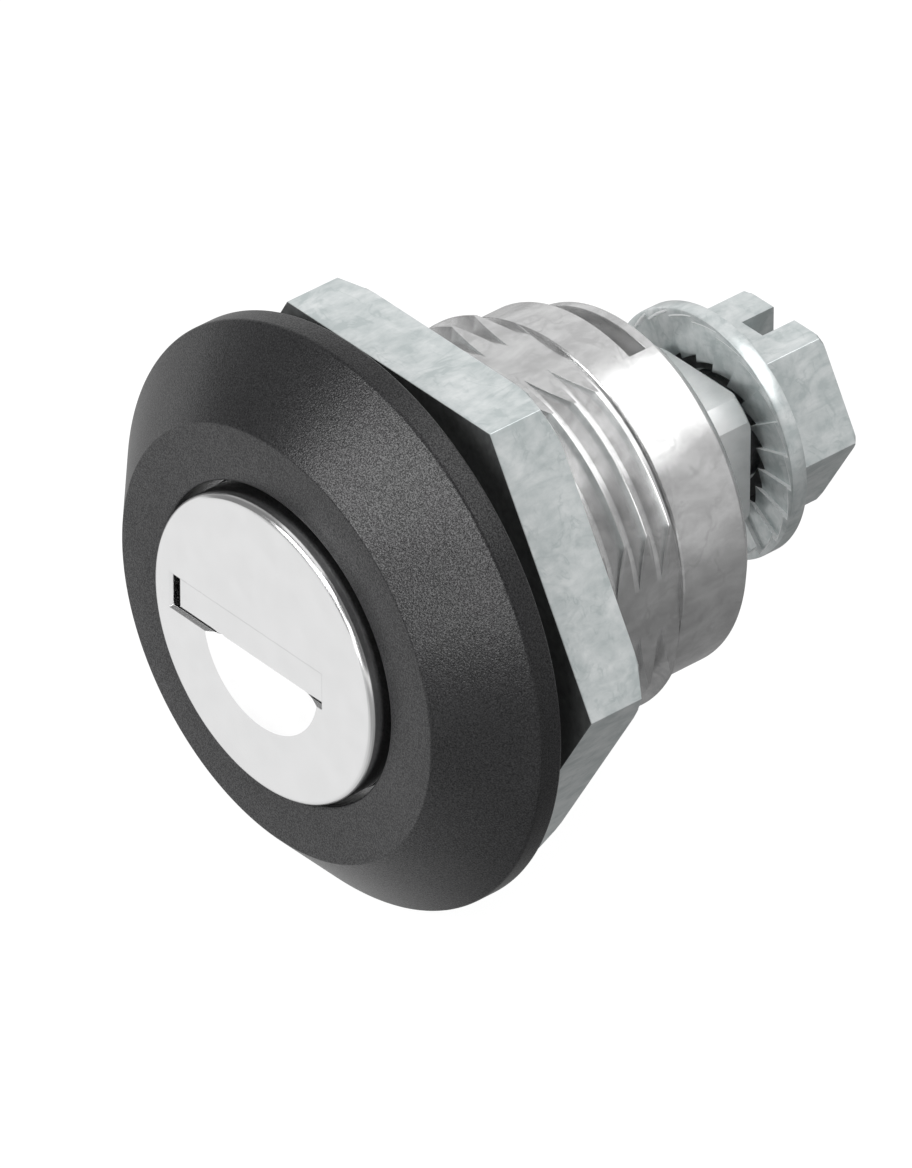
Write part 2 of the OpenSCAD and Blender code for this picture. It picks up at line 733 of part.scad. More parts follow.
// Hexagon screw with a driver slot across its head
module cam_screw() {
    corner_r = head_af / sqrt(3);
    chamfer_r = head_af / 2 * 1.1;
    color("#c3cbca")
        difference() {
            union() {
                intersection() {
                    translate([0, head_front_y, 0])
                        rotate([-90, 0, 0])
                            cylinder(r = corner_r, h = head_h, $fn = 6);
                    turned([[0, head_front_y], [corner_r + over, head_front_y],
                        [corner_r + over, head_back_y - (corner_r + over - chamfer_r) * tan(30)],
                        [chamfer_r, head_back_y], [0, head_back_y]]);
                }
                turned([[0, screw_tip_y], [screw_r - 0.7, screw_tip_y],
                    [screw_r, screw_tip_y + 0.7], [screw_r, head_front_y + over],
                    [0, head_front_y + over]]);
            }
            block(-driver_slot_w / 2, driver_slot_w / 2, head_back_y - driver_slot_depth,
                head_back_y + over, -head_af, head_af);
        }
}

bezel();
gasket();
housing();
hex_nut();
retaining_pin();
face_cap();
dust_shutter();
shutter_pin();
shutter_spring();
lock_plug();
plug_seal();
wafer(1);  // wafer_1
wafer(2);  // wafer_2
wafer(3);  // wafer_3
wafer(4);  // wafer_4
wafer(5);  // wafer_5
wafer_spring(1);  // wafer_spring_1
wafer_spring(2);  // wafer_spring_2
wafer_spring(3);  // wafer_spring_3
wafer_spring(4);  // wafer_spring_4
wafer_spring(5);  // wafer_spring_5
spindle();
spindle_clip();
spindle_seal();
ribbed_washer();
cam_screw();
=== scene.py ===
import math

import bmesh
import bpy
from mathutils import Matrix, Vector


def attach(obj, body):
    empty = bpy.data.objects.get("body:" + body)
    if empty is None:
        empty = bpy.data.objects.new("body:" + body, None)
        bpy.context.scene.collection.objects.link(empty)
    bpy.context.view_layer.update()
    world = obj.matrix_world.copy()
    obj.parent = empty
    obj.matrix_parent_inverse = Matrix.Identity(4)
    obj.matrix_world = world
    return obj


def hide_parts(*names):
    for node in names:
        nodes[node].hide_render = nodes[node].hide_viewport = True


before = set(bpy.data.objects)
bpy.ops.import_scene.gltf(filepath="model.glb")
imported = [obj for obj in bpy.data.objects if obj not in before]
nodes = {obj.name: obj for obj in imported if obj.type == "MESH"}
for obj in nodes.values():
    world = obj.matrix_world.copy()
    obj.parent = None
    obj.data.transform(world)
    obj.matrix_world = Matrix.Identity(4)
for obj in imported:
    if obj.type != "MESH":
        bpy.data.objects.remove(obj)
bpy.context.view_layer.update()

# Sizes are in millimetres until a piece is finished; angles run from +X towards +Z.
MM = 0.001
SEGMENTS = 288

# Stations along the lock's axis
BEZEL_FRONT, RIM_FRONT, BEZEL_BACK = -5.45, -1.7, -0.3
FACE, CAP_BACK = -6.4, -4.4
FLANGE_FRONT, FLANGE_BACK = -3.8, -0.6
NUT_FRONT, NUT_BACK = 2.05, 5.95
SHANK_END, COLLAR_END = 12.9, 17.7
WEB_FRONT, WEB_BACK = 12.6, 13.8
WINDOW_FRONT, RECESS = 15.45, 17.2
DISC_FRONT, CAM_SEAT = 17.25, 17.85
SQUARE_END = 22.95
WASHER_FRONT = 23.2
HEAD_FRONT, HEAD_BACK = 24.77, 28.77

# Radii, and half the width across the shank's flats
BEZEL_R, BEZEL_FLAT_R, BEZEL_BORE_R = 16.1, 12.0, 8.85
FLANGE_R, PLUG_R, PLUG_BORE_R = 12.6, 8.5, 8.55
GASKET_R = 15.1
CREST_R, ROOT_R, COLLAR_R, FLAT = 11.0, 10.1, 10.3, 10.0
DISC_R, HUB_R, NECK_R = 9.4, 8.15, 6.4
WASHER_R, SCREW_R = 7.0, 3.0

# Shank's thread: pitch, half its crest's width, and a root's station on the X axis
PITCH, CREST_HALF, ROOT_AT_X = 1.5, 0.075, 10.025

# Slope of thread flanks and hexagon chamfers
SLOPE = math.tan(math.radians(30))

# Degrees at which the stop window and, at rest, the spindle's lug begin and end
WINDOW_A0, WINDOW_A1 = 72.4, 197.6
LUG_A0, LUG_A1 = 162.8, 197.2

# Key slot and finger scoop
SLOT_X0, SLOT_X1, SLOT_Z0, SLOT_Z1 = -7.0, 4.75, -0.875, 1.155
SCOOP_R, SCOOP_DEPTH, SCOOP_Z = 4.425, 0.65, -0.18

# Gap of pieces that turn or slide, gap of a seat, and how far a cutter runs past its cut
GAP, SEAT, PAST = 0.05, 0.02, 2


# ---- meshes ----

def add_object(name, points, faces):
    mesh = bpy.data.meshes.new(name)
    mesh.from_pydata([tuple(float(c) for c in p) for p in points], [], faces)
    obj = bpy.data.objects.new(name, mesh)
    bpy.context.scene.collection.objects.link(obj)
    edit = bmesh.new()
    edit.from_mesh(mesh)
    bmesh.ops.recalc_face_normals(edit, faces=edit.faces)
    edit.to_mesh(mesh)
    edit.free()
    return obj


def apply_modifiers(obj):
    graph = bpy.context.evaluated_depsgraph_get()
    mesh = bpy.data.meshes.new_from_object(obj.evaluated_get(graph))
    obj.modifiers.clear()
    old = obj.data
    obj.data = mesh
    bpy.data.meshes.remove(old)
    return obj


def combine(obj, other, operation):
    """Exact boolean of two closed solids; the second one is used up."""
    modifier = obj.modifiers.new("boolean", "BOOLEAN")
    modifier.object = other
    modifier.operation = operation
    modifier.solver = "EXACT"
    apply_modifiers(obj)
    bpy.data.objects.remove(other)
    return obj


def bridge(rings, closed=True):
    """Faces between rings of vertex numbers; a ring of one repeated number is a point."""
    faces = []
    pairs = list(zip(rings, rings[1:]))
    if closed:
        pairs.append((rings[-1], rings[0]))
    for low, high in pairs:
        count = len(low)
        for i in range(count):
            j = (i + 1) % count
            face = list(dict.fromkeys([low[i], low[j], high[j], high[i]]))
            if len(face) > 2:
                faces.append(face)
    return faces


def lathe(name, profile, segments=SEGMENTS):
    """A solid turned about the lock's axis from a closed list of (radius, y)."""
    angles = [2 * math.pi * i / segments for i in range(segments)]
    points, rings = [], []
    for r, y in profile:
        start = len(points)
        if r < 1e-6:
            points.append((0, y, 0))
            rings.append([start] * segments)
        else:
            points += [(r * math.cos(a), y, r * math.sin(a)) for a in angles]
            rings.append(list(range(start, start + segments)))
    return add_object(name, points, bridge(rings))


def rounded(corners, steps=6):
    """Replaces each corner (x, y, radius) of a closed outline by an arc."""
    out = []
    count = len(corners)
    for i, (x, y, radius) in enumerate(corners):
        here = Vector((x, y))
        if radius <= 0:
            out.append((x, y))
            continue
        before = (Vector(corners[i - 1][:2]) - here).normalized()
        after = (Vector(corners[(i + 1) % count][:2]) - here).normalized()
        half = before.angle(after) / 2
        reach = radius / math.tan(half)
        centre = here + (before + after).normalized() * (radius / math.sin(half))
        start = here + before * reach - centre
        end = here + after * reach - centre
        turn = start.angle_signed(end)
        for k in range(steps + 1):
            a = -turn * k / steps
            c, s = math.cos(a), math.sin(a)
            out.append((centre.x + c * start.x - s * start.y, centre.y + s * start.x + c * start.y))
    return out


def prism(name, outline, y0, y1):
    """A straight solid along the axis, from an outline in X and Z."""
    count = len(outline)
    points = [(x, y, z) for y in (y0, y1) for x, z in outline]
    faces = [list(range(count)), list(range(2 * count - 1, count - 1, -1))]
    faces += [[i, (i + 1) % count, count + (i + 1) % count, count + i] for i in range(count)]
    return add_object(name, points, faces)


def block(name, x0, x1, y0, y1, z0, z1):
    return prism(name, [(x0, z0), (x1, z0), (x1, z1), (x0, z1)], y0, y1)


def sector_outline(r0, r1, a0, a1, steps=48):
    angles = [math.radians(a0 + (a1 - a0) * k / steps) for k in range(steps + 1)]
    outer = [(r1 * math.cos(a), r1 * math.sin(a)) for a in angles]
    inner = [(r0 * math.cos(a), r0 * math.sin(a)) for a in reversed(angles)]
    return outer + inner


def cut_below(obj, point, normal):
    """Keeps what lies on the far side of the plane from its normal, and closes the cut."""
    edit = bmesh.new()
    edit.from_mesh(obj.data)
    geometry = edit.verts[:] + edit.edges[:] + edit.faces[:]
    cut = bmesh.ops.bisect_plane(edit, geom=geometry, plane_co=point, plane_no=normal,
                                 clear_outer=True)
    edges = [e for e in cut["geom_cut"] if isinstance(e, bmesh.types.BMEdge)]
    bmesh.ops.edgeloop_fill(edit, edges=edges)
    bmesh.ops.recalc_face_normals(edit, faces=edit.faces)
    edit.to_mesh(obj.data)
    edit.free()
    return obj


def finish(obj, body, material, slot, *replaced, sharp=28):
    """Scales a piece to metres, shades it and lets it ride on its body."""
    obj.data.transform(Matrix.Scale(MM, 4))
    edit = bmesh.new()
    edit.from_mesh(obj.data)
    bmesh.ops.remove_doubles(edit, verts=edit.verts, dist=1e-7)
    bmesh.ops.dissolve_degenerate(edit, edges=edit.edges, dist=1e-7)
    edit.to_mesh(obj.data)
    edit.free()
    obj.data.polygons.foreach_set("use_smooth", [True] * len(obj.data.polygons))
    obj.data.set_sharp_from_angle(angle=math.radians(sharp))
    obj.data.materials.clear()
    obj.data.materials.append(material)
    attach(obj, body)
    if replaced:
        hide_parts(*replaced)
    return obj


def paint(obj, material, chosen):
    """Gives another material to the faces that a test of centre (in mm) and normal picks."""
    obj.data.materials.append(material)
    index = len(obj.data.materials) - 1
    for face in obj.data.polygons:
        if chosen(face.center / MM, face.normal):
            face.material_index = index


# ---- materials ----

class Nodes:
    """Short forms for building the node tree of a new material or world."""

    def __init__(self, owner):
        owner.use_nodes = True
        self.owner = owner
        self.tree = owner.node_tree
        self.shader = self.tree.nodes.get("Principled BSDF")
        self.places = self.add("ShaderNodeTexCoord").outputs

    def add(self, kind, **settings):
        node = self.tree.nodes.new(kind)
        for key, value in settings.items():
            setattr(node, key, value)
        return node

    def link(self, source, target):
        self.tree.links.new(source, target)

    def stretched(self, scale):
        mapping = self.add("ShaderNodeMapping")
        mapping.inputs["Scale"].default_value = scale
        self.link(self.places["Object"], mapping.inputs["Vector"])
        return mapping.outputs["Vector"]

    def noise(self, per_mm, detail=2.0, roughness=0.5, distortion=0.0, stretch=None):
        node = self.add("ShaderNodeTexNoise")
        node.inputs["Scale"].default_value = per_mm / MM
        node.inputs["Detail"].default_value = detail
        node.inputs["Roughness"].default_value = roughness
        node.inputs["Distortion"].default_value = distortion
        place = self.stretched(stretch) if stretch else self.places["Object"]
        self.link(place, node.inputs["Vector"])
        return node.outputs["Fac"]

    def spread(self, source, low, high, to_low, to_high, kind="LINEAR"):
        """Maps low to high on to another range, held at its ends; SMOOTHSTEP softens them."""
        node = self.add("ShaderNodeMapRange", interpolation_type=kind)
        for key, value in (("From Min", low), ("From Max", high), ("To Min", to_low),
                           ("To Max", to_high)):
            node.inputs[key].default_value = value
        self.link(source, node.inputs["Value"])
        return node.outputs["Result"]

    def math(self, operation, first, second):
        node = self.add("ShaderNodeMath", operation=operation)
        for socket, value in zip(node.inputs, (first, second)):
            if isinstance(value, (int, float)):
                socket.default_value = value
            else:
                self.link(value, socket)
        return node.outputs["Value"]

    def ramp(self, source, stops):
        node = self.add("ShaderNodeValToRGB")
        elements = node.color_ramp.elements
        while len(elements) < len(stops):
            elements.new(0.5)
        for element, (position, colour) in zip(elements, stops):
            element.position = position
            element.color = (*colour, 1)
        self.link(source, node.inputs["Fac"])
        return node.outputs["Color"]

    def bump(self, height, strength, depth_mm, edge_mm=0.0):
        node = self.add("ShaderNodeBump")
        node.inputs["Strength"].default_value = strength
        node.inputs["Distance"].default_value = depth_mm * MM
        self.link(height, node.inputs["Height"])
        if edge_mm:
            edge = self.add("ShaderNodeBevel", samples=6)
            edge.inputs["Radius"].default_value = edge_mm * MM
            self.link(edge.outputs["Normal"], node.inputs["Normal"])
        self.link(node.outputs["Normal"], self.shader.inputs["Normal"])

    def glow(self, strength):
        """A white emission, of a number or of a socket's value."""
        node = self.add("ShaderNodeEmission")
        if isinstance(strength, float):
            node.inputs["Strength"].default_value = strength
        else:
            self.link(strength, node.inputs["Strength"])
        return node.outputs["Emission"]

    def mix(self, share, first, second):
        """Mixes two shaders; the share is a number or a socket's value."""
        node = self.add("ShaderNodeMixShader")
        if isinstance(share, float):
            node.inputs["Fac"].default_value = share
        else:
            self.link(share, node.inputs["Fac"])
        self.link(first, node.inputs[1])
        self.link(second, node.inputs[2])
        return node.outputs["Shader"]

    def set(self, **values):
        for key, value in values.items():
            self.shader.inputs[key.replace("_", " ")].default_value = value


def new_material(name):
    return Nodes(bpy.data.materials.new(name))


def grained_plastic(name, dark, light, roughness):
    n = new_material(name)
    grain = n.noise(11.0, detail=1.0, roughness=0.5)
    sparkle = n.noise(14.0, detail=0.0)
    cloud = n.noise(0.25, detail=2.0)
    mix = n.math("ADD", n.math("MULTIPLY", grain, 0.8), n.math("MULTIPLY", cloud, 0.2))
    n.link(n.ramp(mix, [(0.35, dark), (0.65, light)]), n.shader.inputs["Base Color"])
    n.link(n.spread(sparkle, 0.35, 0.7, 0.12, 0.44), n.shader.inputs["Specular IOR Level"])
    n.bump(grain, strength=1.0, depth_mm=0.016, edge_mm=0.04)
    n.set(Roughness=roughness)
    return n.owner


def veins(n, per_mm, stretch, width):
    """Broken thin curved strokes, 1 on a stroke and 0 between them."""
    field = n.noise(per_mm, detail=3.0, roughness=0.55, distortion=0.6, stretch=stretch)
    away = n.math("ABSOLUTE", n.math("SUBTRACT", field, 0.5), 0.0)
    broken = n.spread(n.noise(1.3 * per_mm, detail=2.0, stretch=stretch), 0.46, 0.6, 0.0, 1.0)
    return n.math("MULTIPLY", n.spread(away, 0.0, width, 1.0, 0.0), broken)


def cast_metal(name, dark, light, roughness, cloud_mm, contrast=1.0, metallic=0.8,
               edge_mm=0.0, wave_mm=0.05, strokes=0.0):
    """Plated or cast metal with soft clouds, broken dark strokes and a gentle wave."""
    n = new_material(name)
    clouds = n.noise(1.2 / cloud_mm, detail=4.0, roughness=0.6, distortion=0.3)
    marks = n.noise(2.6 / cloud_mm, detail=4.0, roughness=0.6, distortion=0.35,
                    stretch=(1.0, 0.4, 0.8))
    mix = n.math("ADD", n.math("MULTIPLY", clouds, 0.45), n.math("MULTIPLY", marks, 0.55))
    if strokes:
        across = n.math("ADD", veins(n, 0.9 / cloud_mm, (1.0, 0.45, 0.8), 0.05),
                        veins(n, 1.3 / cloud_mm, (0.6, 1.0, 0.9), 0.05))
        mix = n.math("SUBTRACT", mix, n.math("MULTIPLY", across, strokes))
    low, high = 0.5 - 0.12 / contrast, 0.5 + 0.12 / contrast
    n.link(n.ramp(mix, [(low, dark), (high, light)]), n.shader.inputs["Base Color"])
    waves = n.noise(0.9 / cloud_mm, detail=2.0, roughness=0.5)
    n.bump(waves, strength=0.2, depth_mm=wave_mm, edge_mm=edge_mm)
    n.set(Metallic=metallic, Roughness=roughness)
    return n.owner


def smooth_metal(name, colour, roughness):
    n = new_material(name)
    fine = n.noise(0.6, detail=3.0)
    shade = tuple(c * 0.97 for c in colour)
    n.link(n.ramp(fine, [(0.35, shade), (0.65, colour)]), n.shader.inputs["Base Color"])
    n.bump(n.noise(12.0), strength=0.02, depth_mm=0.01, edge_mm=0.07)
    n.set(Metallic=1.0, Roughness=roughness)
    return n.owner


def rubber(name):
    n = new_material(name)
    speckle = n.noise(5.0, detail=2.0)
    n.link(n.ramp(speckle, [(0.3, (0.012, 0.012, 0.012)), (0.7, (0.022, 0.022, 0.023))]),
           n.shader.inputs["Base Color"])
    n.bump(speckle, strength=0.2, depth_mm=0.02)
    n.set(Roughness=0.75)
    return n.owner


black = grained_plastic("bezel_black", (0.01, 0.01, 0.0104), (0.026, 0.026, 0.027),
                        roughness=0.28)
black_rubber = rubber("rubber_black")
die_cast = cast_metal("die_cast_grey", (0.52, 0.52, 0.52), (0.69, 0.69, 0.69),
                      roughness=0.24, cloud_mm=2.4, edge_mm=0.03, wave_mm=0.04, strokes=0.12)
# A paler, less metallic copy of the die-cast grey: painted light on the square, where the washer
# and disc shade it.
square_painted_light = cast_metal("square_painted_light", (0.84, 0.86, 0.86), (0.94, 0.95, 0.95),
                         roughness=0.28, cloud_mm=2.0, metallic=0.25)
zinc = cast_metal("zinc_plated", (0.54, 0.59, 0.59), (0.8, 0.83, 0.83),
                  roughness=0.3, cloud_mm=1.7, contrast=0.8, metallic=0.78, strokes=0.12)
# A pale copy of the zinc: painted highlight lines on the washer's rib steps and lip edge.
zinc_painted_highlight = cast_metal("zinc_painted_highlight", (0.9, 0.93, 0.93), (0.97, 0.98, 0.98),
                       roughness=0.35, cloud_mm=2.0, metallic=0.1)
# A dark copy of the zinc: painted shade for the washer's recess and the nut's front face behind the
# bezel.
zinc_painted_shade = cast_metal("zinc_painted_shade", (0.08, 0.084, 0.084), (0.13, 0.135, 0.135),
                         roughness=0.5, cloud_mm=1.0, metallic=0.4)
bright = smooth_metal("face_bright", (0.72, 0.72, 0.722), roughness=0.18)
# A near-white copy of the face's metal: painted highlight on the finger scoop.
painted_highlight_scoop = smooth_metal("scoop_painted_highlight", (0.98, 0.98, 0.98), roughness=0.3)
ground_steel = smooth_metal("steel_ground", (0.5, 0.5, 0.51), roughness=0.3)
spring_wire = cast_metal("spring_wire", (0.4, 0.41, 0.42), (0.55, 0.56, 0.57),
                         roughness=0.28, cloud_mm=0.6)
brass = cast_metal("brass_stamped", (0.6, 0.42, 0.17), (0.8, 0.6, 0.28),
                   roughness=0.3, cloud_mm=1.2)


# ---- pieces ----

def make_bezel():
    profile = rounded([
        (BEZEL_BORE_R, BEZEL_FRONT, 0.2), (BEZEL_FLAT_R, BEZEL_FRONT, 0.15),
        (BEZEL_R, RIM_FRONT, 0.3), (BEZEL_R, BEZEL_BACK, 0.2),
        (GASKET_R + GAP, BEZEL_BACK, 0), (GASKET_R + GAP, FLANGE_BACK, 0),
        (FLANGE_R + SEAT, FLANGE_BACK, 0), (FLANGE_R + SEAT, FLANGE_FRONT, 0),
        (BEZEL_BORE_R, FLANGE_FRONT, 0)])
    return finish(lathe("bezel_ring", profile, 360), "housing", black, "black_bezel", "bezel",
                  sharp=20)


def make_gasket():
    bore_r = CREST_R + 0.1
    profile = rounded([(bore_r, FLANGE_BACK, 0), (GASKET_R, FLANGE_BACK, 0),
                       (GASKET_R, 0, 0.15), (bore_r, 0, 0.1)])
    return finish(lathe("panel_gasket", profile), "housing", black_rubber, "black_rubber",
                  "gasket")


def threaded_rod(name, y0, y1, columns=SEGMENTS):
    """A right-hand thread whose grid follows the helix, longer than y0 to y1, closed.

    Its crest has a 45 degree edge towards the lock's face, which catches the light.
    """
    edge, end_cone = 0.05, 3
    flank = (CREST_R - ROOT_R) * SLOPE
    root_half = PITCH / 2 - CREST_HALF - flank
    rise = root_half + flank - edge * SLOPE
    form = [(-root_half, ROOT_R), (root_half, ROOT_R), (rise, CREST_R - edge),
            (rise + edge, CREST_R), (PITCH - root_half - flank, CREST_R)]
    first = math.floor((y0 - ROOT_AT_X) / PITCH) - 1
    last = math.ceil((y1 - ROOT_AT_X) / PITCH) + 2
    rows = [(ROOT_AT_X + k * PITCH + dy, r) for k in range(first, last) for dy, r in form]
    per_turn = len(form)
    points = []
    for y, r in rows:
        for i in range(columns):
            a = 2 * math.pi * i / columns
            points.append((r * math.cos(a), y - PITCH * i / columns, r * math.sin(a)))
    faces = []
    for j in range(len(rows) - 1):
        for i in range(columns):
            if i < columns - 1:
                a, b = j * columns + i, j * columns + i + 1
            elif j >= per_turn:
                a, b = j * columns + i, (j - per_turn) * columns
            else:
                continue
            faces.append([a, b, b + columns, a + columns])
    top = (len(rows) - 1) * columns
    low_loop = list(range(columns)) + [
        j * columns + columns - 1 for j in range(1, per_turn + 1)]
    high_loop = [j * columns + top - per_turn * columns for j in range(per_turn)]
    high_loop += [top + i for i in range(columns)]
    for loop, y in ((low_loop, rows[0][0] - end_cone), (high_loop, rows[-1][0] + end_cone)):
        centre = len(points)
        points.append((0, y, 0))
        faces += [[centre, loop[i], loop[(i + 1) % len(loop)]] for i in range(len(loop))]
    return add_object(name, points, faces)


def make_housing():
    """Flatted shank and collar, bored, with its flange, stop window and wafer grooves."""
    body = threaded_rod("housing_body", FLANGE_BACK - 1, SHANK_END)
    combine(body, block("flats", -FLAT, FLAT, FLANGE_BACK - 0.4, SHANK_END, -FLAT, FLAT),
            "INTERSECT")
    core_r, core_front = ROOT_R - 0.3, SHANK_END - 0.5
    front_edge, back_edge = 0.08, 0.6
    combine(body, lathe("collar", rounded([
        (0, core_front, 0), (core_r, core_front, 0), (core_r, SHANK_END, 0),
        (COLLAR_R - front_edge, SHANK_END, 0), (COLLAR_R, SHANK_END + front_edge, 0.02),
        (COLLAR_R, COLLAR_END - back_edge, 0.15), (COLLAR_R - back_edge, COLLAR_END, 0.06),
        (0, COLLAR_END, 0)], 4)), "UNION")
    web_hole_r = NECK_R + GAP
    combine(body, lathe("bore", [
        (0, FLANGE_FRONT - PAST), (PLUG_BORE_R, FLANGE_FRONT - PAST), (PLUG_BORE_R, WEB_FRONT),
        (web_hole_r, WEB_FRONT), (web_hole_r, WEB_BACK), (HUB_R + GAP, WEB_BACK),
        (HUB_R + GAP, RECESS), (DISC_R + GAP, RECESS), (DISC_R + GAP, COLLAR_END + PAST),
        (0, COLLAR_END + PAST)]), "DIFFERENCE")
    # The flange's own radius and segments keep its faces off those of the bore.
    inner = PLUG_BORE_R + 0.002
    combine(body, lathe("flange", [(inner, FLANGE_FRONT), (FLANGE_R, FLANGE_FRONT),
                                   (FLANGE_R, FLANGE_BACK), (inner, FLANGE_BACK)], 300), "UNION")
    inside_r, outside_r = 6.5, 13
    combine(body, prism("window", sector_outline(inside_r, outside_r, WINDOW_A0, WINDOW_A1),
                        WINDOW_FRONT, COLLAR_END + PAST), "DIFFERENCE")
    # Grooves for the wafers at both limits of the turn
    groove_r, groove_front, groove_back, half, outside = 9.146, 0.2, 10.2, 1.8, 12
    for wide, high in ((outside, half), (half, outside)):
        groove = block("groove", -wide, wide, groove_front, groove_back, -high, high)
        combine(groove, lathe("reach", [(0, groove_front), (groove_r, groove_front),
                                        (groove_r, groove_back), (0, groove_back)]), "INTERSECT")
        combine(body, groove, "DIFFERENCE")
    return finish(body, "housing", die_cast, "die_cast", "housing")


def hexagon(across, corner_round, steps_flat=20, steps_corner=6):
    """Outline of a hexagon with corners on the X axis, softly rounded, finely divided."""
    corner = across / math.sqrt(3)
    corners = [(corner * math.cos(math.radians(60 * k)), corner * math.sin(math.radians(60 * k)),
                corner_round) for k in range(6)]
    arcs = rounded(corners, steps_corner)
    per_corner = steps_corner + 1
    outline = []
    for k in range(6):
        arc = arcs[k * per_corner:(k + 1) * per_corner]
        start, end = arc[-1], arcs[((k + 1) * per_corner) % len(arcs)]
        outline += arc
        outline += [(start[0] + (end[0] - start[0]) * i / steps_flat,
                     start[1] + (end[1] - start[1]) * i / steps_flat)
                    for i in range(1, steps_flat)]
    return outline


def hex_body(name, across, y0, y1, chamfer_r, hole_r, corner_round, edge, mouth=0.0):
    """Hexagon prism with a turned chamfer at its back and softened edges."""
    outline = hexagon(across, corner_round)
    count = len(outline)
    angles = [math.atan2(z, x) for x, z in outline]
    radii = [math.hypot(x, z) for x, z in outline]

    def ring(radius_of, y_of):
        return [(radius_of(i) * math.cos(angles[i]), y_of(i), radius_of(i) * math.sin(angles[i]))
                for i in range(count)]

    def shoulder(i):
        return y1 - edge - max(0.0, radii[i] - chamfer_r) * SLOPE

    shapes = []
    if hole_r:
        shapes.append(ring(lambda i: hole_r, lambda i: y0 + mouth))
        shapes.append(ring(lambda i: hole_r + mouth, lambda i: y0))
    shapes += [
        ring(lambda i: radii[i] - edge, lambda i: y0),
        ring(lambda i: radii[i] - edge * 0.3, lambda i: y0 + edge * 0.3),
        ring(lambda i: radii[i], lambda i: y0 + edge),
        ring(lambda i: radii[i], shoulder),
        ring(lambda i: min(radii[i], chamfer_r + 0.1) - edge * 0.3, lambda i: y1 - edge * 0.35),
        ring(lambda i: min(radii[i] - edge, chamfer_r - 0.1), lambda i: y1)]
    if hole_r:
        shapes.append(ring(lambda i: hole_r + mouth, lambda i: y1))
        shapes.append(ring(lambda i: hole_r, lambda i: y1 - mouth))
    points = [p for shape in shapes for p in shape]
    rings = [list(range(k * count, (k + 1) * count)) for k in range(len(shapes))]
    if hole_r:
        return add_object(name, points, bridge(rings))
    faces = bridge(rings, closed=False)
    for ring_numbers, y in ((rings[0], y0), (rings[-1], y1)):
        centre = len(points)
        points.append((0, y, 0))
        faces += bridge([[centre] * count, ring_numbers], closed=False)
    return add_object(name, points, faces)


def make_nut():
    nut = hex_body("hex_nut_m22", 27, NUT_FRONT, NUT_BACK, chamfer_r=14.7,
                   hole_r=CREST_R + 0.06, corner_round=0.05, edge=0.05, mouth=0.45)
    finish(nut, "housing", zinc, "zinc_plate", "hex_nut", sharp=14)
    # The nut's front face, close behind the bezel, gets the dark zinc: painted shade.
    paint(nut, zinc_painted_shade, lambda centre, normal: centre.y < NUT_FRONT + 0.01)
    return nut


def eight_points(name, points):
    """A solid with four corners at each end."""
    sides = [[i, (i + 1) % 4, 4 + (i + 1) % 4, 4 + i] for i in range(4)]
    return add_object(name, points, [[0, 1, 2, 3], [7, 6, 5, 4]] + sides)


def make_face():
    """Face disc with the key slot, its sloping left and lower edges, and the scoop."""
    cap = lathe("face_disc", rounded([
        (0, FACE, 0), (PLUG_R, FACE, 0.45), (PLUG_R, CAP_BACK, 0), (0, CAP_BACK, 0)]))
    combine(cap, block("slot", SLOT_X0, SLOT_X1, FACE - PAST, CAP_BACK + 1, SLOT_Z0, SLOT_Z1),
            "DIFFERENCE")
    bevel = 0.16
    front, back = FACE - bevel, FACE + bevel
    lower = [(front, SLOT_Z0 - 2 * bevel), (back, SLOT_Z0), (back, SLOT_Z1), (front, SLOT_Z1)]
    funnel = eight_points("funnel", [(x, y, z) for x in (SLOT_X0 - PAST, SLOT_X1)
                                     for y, z in lower])
    side = [(SLOT_X0 - 2 * bevel, front), (SLOT_X0, back), (SLOT_X1, back), (SLOT_X1, front)]
    combine(funnel, eight_points("funnel_side", [(x, y, z) for z in (SLOT_Z0 - PAST, SLOT_Z1)
                                                 for x, y in side]), "INTERSECT")
    combine(cap, funnel, "DIFFERENCE")
    # Room behind the face for the shutter's plate
    combine(cap, block("pocket", -6.66, 4.87, FACE + 0.4, CAP_BACK + 1, -0.975, 2.725),
            "DIFFERENCE")
    ball = (SCOOP_R ** 2 + SCOOP_DEPTH ** 2) / (2 * SCOOP_DEPTH)
    centre = FACE + SCOOP_DEPTH - ball
    steps, widest = 60, 5.4
    arc = [(ball * math.sin(t), centre + ball * math.cos(t))
           for t in (math.asin(widest / ball) * k / steps for k in range(steps + 1))]
    scoop = lathe("scoop", arc + [(0, arc[-1][1])], 192)
    scoop.data.transform(Matrix.Translation((0, 0, SCOOP_Z)))
    cut_below(scoop, (0, 0, SLOT_Z0 + 0.1), (0, 0, 1))
    combine(cap, scoop, "DIFFERENCE")
    finish(cap, "rotor", bright, "bright_face", "face_cap", sharp=12)

    def in_scoop(centre, normal):
        inside = math.hypot(centre.x, centre.z - SCOOP_Z) < SCOOP_R and centre.z < SLOT_Z0
        return inside and centre.y > FACE + 0.002 and -0.99999 < normal.y < -0.9

    # The scoop's faces get the near-white copy of the face's metal: painted highlight.
    paint(cap, painted_highlight_scoop, in_scoop)
    return cap


